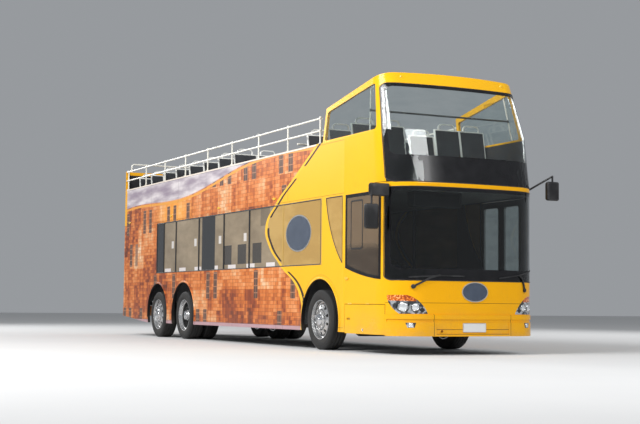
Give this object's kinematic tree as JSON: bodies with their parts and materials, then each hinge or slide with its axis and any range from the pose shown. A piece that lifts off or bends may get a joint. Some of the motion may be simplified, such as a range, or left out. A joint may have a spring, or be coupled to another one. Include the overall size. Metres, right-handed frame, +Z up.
{
  "type": "open top double decker bus",
  "caption": "Three-axle open top double decker bus with twin-leaf entrance, steered front wheels, engine lid, upper deck rails and a glazed upper front frame.",
  "frame": {"origin": "on the ground under the centre of the bus's outer box", "axes": "+X forward, +Y to the bus's left, +Z up"},
  "size_m": [12.25, 3.12, 4.0349],
  "materials": {
    "yellow_paint": "gloss coach paint, sun yellow",
    "side_film": "printed vinyl film over paint, terracotta block pattern",
    "clear_glass": "lightly tinted laminated glass",
    "tinted_glass": "dark tinted toughened glass",
    "floor_sheet": "speckled slip-resistant floor sheet",
    "deck_sheet": "grey ribbed deck covering",
    "chassis_paint": "black chassis paint",
    "engine_iron": "grey painted casting",
    "bellows_rubber": "matt black rubber",
    "deck_seat_shell": "moulded dark plastic",
    "saloon_seat_cloth": "short pile seat cloth",
    "dash_plastic": "grained dark plastic",
    "rail_paint": "white enamel",
    "lamp_lens": "clear moulded lens",
    "red_lens": "red moulded lens",
    "black_trim": "black moulded plastic",
    "door_paint": "black enamel",
    "tyre_rubber": "matt black tyre rubber",
    "wheel_silver": "silver painted wheel"
  },
  "bodies": {
    "bus": {"lower_front": "yellow_paint", "front_bumper": "yellow_paint", "rear_bumper": "side_film", "body_side_right": "side_film", "body_side_left": "side_film", "rear_end": "side_film", "upper_front_frame": "yellow_paint", "upper_glass": "clear_glass", "windscreen": "clear_glass", "saloon_glass": "tinted_glass", "lower_floor": "floor_sheet", "wheel_boxes": "floor_sheet", "upper_floor": "deck_sheet", "stairs": "floor_sheet", "stair_guard": "rail_paint", "chassis_frame": "chassis_paint", "engine_block": "engine_iron", "front_axle": "chassis_paint", "drive_axle": "chassis_paint", "tag_axle": "chassis_paint", "air_springs": "bellows_rubber", "upper_seats_left": "deck_seat_shell", "upper_seats_right": "deck_seat_shell", "saloon_seats_left": "saloon_seat_cloth", "saloon_seats_right": "saloon_seat_cloth", "driver_seat": "saloon_seat_cloth", "dashboard": "dash_plastic", "cab_partition": "dash_plastic", "destination_box": "dash_plastic", "grab_poles": "rail_paint", "handrails": "rail_paint", "front_rail": "rail_paint", "headlamps": "lamp_lens", "tail_lamps": "red_lens", "mirrors": "black_trim", "wipers": "black_trim"},
    "knuckle_left": {"knuckle_left": "chassis_paint"},
    "knuckle_right": {"knuckle_right": "chassis_paint"},
    "steering_wheel": {"steering_wheel": "dash_plastic"},
    "wheel_front_left": {"tyre_front_left": "tyre_rubber", "rim_front_left": "wheel_silver"},
    "wheel_front_right": {"tyre_front_right": "tyre_rubber", "rim_front_right": "wheel_silver"},
    "wheel_drive_left": {"tyre_drive_left": "tyre_rubber", "rim_drive_left": "wheel_silver"},
    "wheel_drive_right": {"tyre_drive_right": "tyre_rubber", "rim_drive_right": "wheel_silver"},
    "wheel_tag_left": {"tyre_tag_left": "tyre_rubber", "rim_tag_left": "wheel_silver"},
    "wheel_tag_right": {"tyre_tag_right": "tyre_rubber", "rim_tag_right": "wheel_silver"},
    "door_front": {"door_leaf_front": "door_paint", "door_glass_front": "tinted_glass"},
    "door_rear": {"door_leaf_rear": "door_paint", "door_glass_rear": "tinted_glass"},
    "engine_lid": {"engine_lid": "side_film"},
    "service_flap": {"service_flap": "yellow_paint"}
  },
  "joints": [
    {"name": "steer_left", "type": "hinge", "parent": "bus", "child": "knuckle_left", "pos_m": [3.72, 0.88, 0.458], "axis": [0, 0, 1], "range_deg": [-38, 38]},
    {"name": "steer_right", "type": "hinge", "parent": "bus", "child": "knuckle_right", "pos_m": [3.72, -0.88, 0.458], "axis": [0, 0, 1], "range_deg": [-38, 38]},
    {"name": "steering_wheel_turn", "type": "hinge", "parent": "bus", "child": "steering_wheel", "pos_m": [5.46749, -0.72, 1.06926], "axis": [-0.5736, 0, 0.8192], "range_deg": [-684, 684]},
    {"name": "spin_front_left", "type": "hinge", "parent": "knuckle_left", "child": "wheel_front_left", "pos_m": [3.72, 1.0975, 0.458], "axis": [0, 1, 0], "continuous": true},
    {"name": "spin_front_right", "type": "hinge", "parent": "knuckle_right", "child": "wheel_front_right", "pos_m": [3.72, -1.0975, 0.458], "axis": [0, 1, 0], "continuous": true},
    {"name": "spin_drive_left", "type": "hinge", "parent": "bus", "child": "wheel_drive_left", "pos_m": [-2.225, 1.0975, 0.458], "axis": [0, 1, 0], "continuous": true},
    {"name": "spin_drive_right", "type": "hinge", "parent": "bus", "child": "wheel_drive_right", "pos_m": [-2.225, -1.0975, 0.458], "axis": [0, 1, 0], "continuous": true},
    {"name": "spin_tag_left", "type": "hinge", "parent": "bus", "child": "wheel_tag_left", "pos_m": [-3.725, 1.0975, 0.458], "axis": [0, 1, 0], "continuous": true},
    {"name": "spin_tag_right", "type": "hinge", "parent": "bus", "child": "wheel_tag_right", "pos_m": [-3.725, -1.0975, 0.458], "axis": [0, 1, 0], "continuous": true},
    {"name": "door_front_swing", "type": "hinge", "parent": "bus", "child": "door_front", "pos_m": [5.54, 1.25, 1.3], "axis": [0, 0, -1], "range_deg": [0, 90]},
    {"name": "door_rear_swing", "type": "hinge", "parent": "bus", "child": "door_rear", "pos_m": [4.44, 1.25, 1.3], "axis": [0, 0, 1], "range_deg": [0, 90]},
    {"name": "engine_lid_lift", "type": "hinge", "parent": "bus", "child": "engine_lid", "pos_m": [-6.105, 0, 1.266], "axis": [0, 1, 0], "range_deg": [0, 75]},
    {"name": "service_flap_lift", "type": "hinge", "parent": "bus", "child": "service_flap", "pos_m": [5.1, -1.25, 0.701], "axis": [-1, 0, 0], "range_deg": [0, 80]}
  ],
  "couplings": [
    {"joint": "steer_right", "follows": "steer_left", "ratio": 1},
    {"joint": "steering_wheel_turn", "follows": "steer_left", "ratio": 18}
  ]
}
